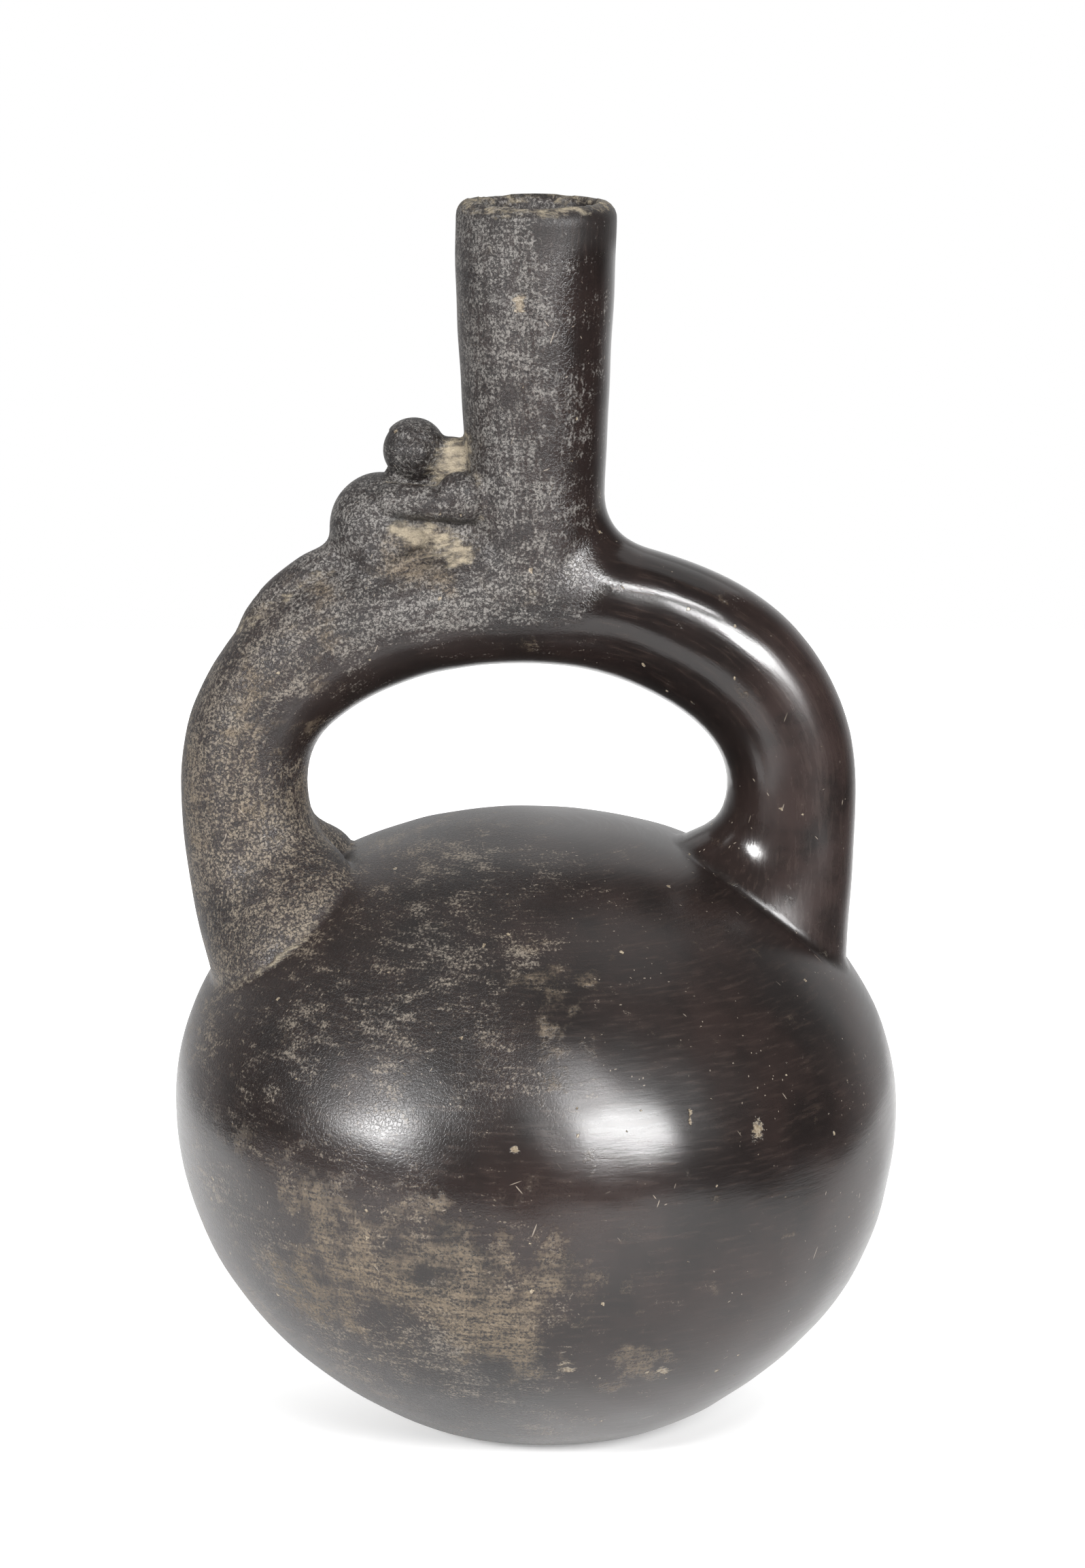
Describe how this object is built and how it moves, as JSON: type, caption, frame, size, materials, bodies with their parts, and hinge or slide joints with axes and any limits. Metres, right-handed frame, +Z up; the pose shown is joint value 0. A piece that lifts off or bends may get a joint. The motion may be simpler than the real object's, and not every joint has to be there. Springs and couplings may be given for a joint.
{
  "type": "stirrup spout vessel",
  "caption": "Round burnished blackware bottle with a hollow arched handle, an upright spout on its crown and a small crouching monkey gripping the spout.",
  "frame": {"origin": "on the ground, in the middle of the vessel's outline, inside the small flat spot that it stands on", "axes": "+Z up along the spout, X along the arched handle with the monkey on the -X side, the displayed side faces -Y"},
  "size_m": [0.1284, 0.1284, 0.2195],
  "materials": {
    "blackware": "reduction-fired burnished clay, near black, glossy on one side and worn and speckled on the other"
  },
  "bodies": {
    "root": {"vessel": "blackware"}
  },
  "joints": []
}
